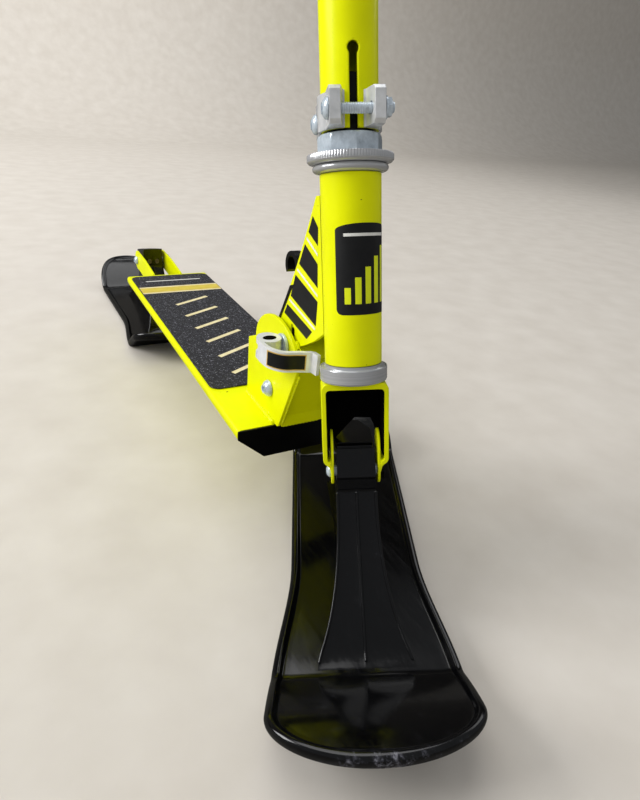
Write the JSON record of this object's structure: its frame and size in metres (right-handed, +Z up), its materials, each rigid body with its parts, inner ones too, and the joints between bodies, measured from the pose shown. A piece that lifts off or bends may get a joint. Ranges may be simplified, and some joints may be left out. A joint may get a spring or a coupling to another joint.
{
  "type": "snow scooter",
  "caption": "Folding kick scooter for snow: plastic skis on pivoting axles front and rear, a gritted steel deck, a latched folding neck and a height-adjustable T-bar.",
  "frame": {"origin": "on the ground, at the middle of the rear ski's flat sole, straight under its axle", "axes": "+Z up; +Y backwards along the deck, so the steering end is at -Y; +X to the right for someone who faces the scooter's front"},
  "size_m": [0.335, 0.9755, 0.8454],
  "materials": {
    "paint": "gloss fluorescent powder coat",
    "black_plastic": "moulded, glossy with fine scuffs",
    "grip_tape": "coarse grit on tape, printed with pale stripes",
    "aluminium": "satin, turned or cast",
    "zinc": "bright zinc plating",
    "nylon": "plain",
    "rubber": "matt"
  },
  "bodies": {
    "frame": {"deck_box": "paint", "deck_front_plug": "black_plastic", "deck_rear_plate": "paint", "grip_tape": "grip_tape", "rear_arm_left": "paint", "rear_arm_right": "paint", "rear_axle_bolt": "zinc", "rear_axle_nut": "zinc", "hinge_cheek_left": "paint", "hinge_cheek_right": "paint", "hinge_front_web": "paint", "hinge_pivot_bolt": "zinc", "hinge_pivot_nut": "zinc", "hinge_thrust_washer_left": "nylon", "hinge_thrust_washer_right": "nylon", "latch_skewer": "zinc", "latch_nut": "zinc", "latch_washer": "aluminium", "latch_cam_pin": "zinc"},
    "latch_lever_body": {"latch_lever": "aluminium"},
    "neck": {"neck_plate_left": "paint", "neck_plate_right": "paint", "neck_back_cover": "black_plastic", "neck_pivot_bush": "nylon", "head_tube": "paint", "upper_cup": "aluminium", "lower_cup": "aluminium", "upper_bearing": "zinc", "lower_bearing": "zinc"},
    "steering": {"steerer_tube": "zinc", "crown_race": "aluminium", "adjusting_race": "aluminium", "lock_nut": "zinc", "fork_yoke": "paint", "fork_ear_left": "paint", "fork_ear_right": "paint", "front_axle_bolt": "zinc", "front_axle_nut": "zinc", "lower_bar_tube": "paint", "stem_clamp": "aluminium", "clamp_washer": "zinc", "clamp_bolt_front": "zinc", "clamp_nut_front": "zinc", "clamp_bolt_rear": "zinc", "clamp_nut_rear": "zinc", "height_collar": "aluminium", "height_skewer": "zinc", "height_nut": "zinc", "bar_sleeve": "nylon"},
    "height_lever_body": {"height_lever": "aluminium"},
    "upper_bar": {"upper_bar_tube": "paint", "crossbar": "paint", "grip_left": "rubber", "grip_right": "rubber", "end_cap_left": "black_plastic", "end_cap_right": "black_plastic"},
    "front_ski_body": {"front_ski": "black_plastic", "front_ski_bush": "nylon"},
    "rear_ski_body": {"rear_ski": "black_plastic", "rear_ski_bush": "nylon"}
  },
  "joints": [
    {"name": "neck_fold", "type": "hinge", "parent": "frame", "child": "neck", "pos_m": [0, -0.4905, 0.11947], "axis": [-1, 0, 0], "range_deg": [0, 75]},
    {"name": "latch_lever_swing", "type": "hinge", "parent": "frame", "child": "latch_lever_body", "pos_m": [-0.0344, -0.51231, 0.1661], "axis": [0, 0.0174, -0.9998], "range_deg": [0, 150]},
    {"name": "steer", "type": "hinge", "parent": "neck", "child": "steering", "pos_m": [0, -0.57447, 0.17472], "axis": [0, 0.2369, 0.9715], "range_deg": [-32, 88]},
    {"name": "bar_height", "type": "slide", "parent": "steering", "child": "upper_bar", "axis": [0, 0.2369, 0.9715], "range_m": [-0.06, 0.04]},
    {"name": "height_lever_swing", "type": "hinge", "parent": "steering", "child": "height_lever_body", "pos_m": [-0.00621, -0.44417, 0.58349], "axis": [0, -0.2369, -0.9715], "range_deg": [0, 120]},
    {"name": "front_ski_pitch", "type": "hinge", "parent": "steering", "child": "front_ski_body", "pos_m": [0, -0.5926, 0.1004], "axis": [-0.8878, 0.4471, -0.109], "range_deg": [-4, 20]},
    {"name": "rear_ski_pitch", "type": "hinge", "parent": "frame", "child": "rear_ski_body", "pos_m": [0, 0, 0.095], "axis": [-1, 0, 0], "range_deg": [-20, 5]}
  ],
  "couplings": [
    {"joint": "latch_lever_swing", "follows": "neck_fold", "ratio": 2}
  ]
}
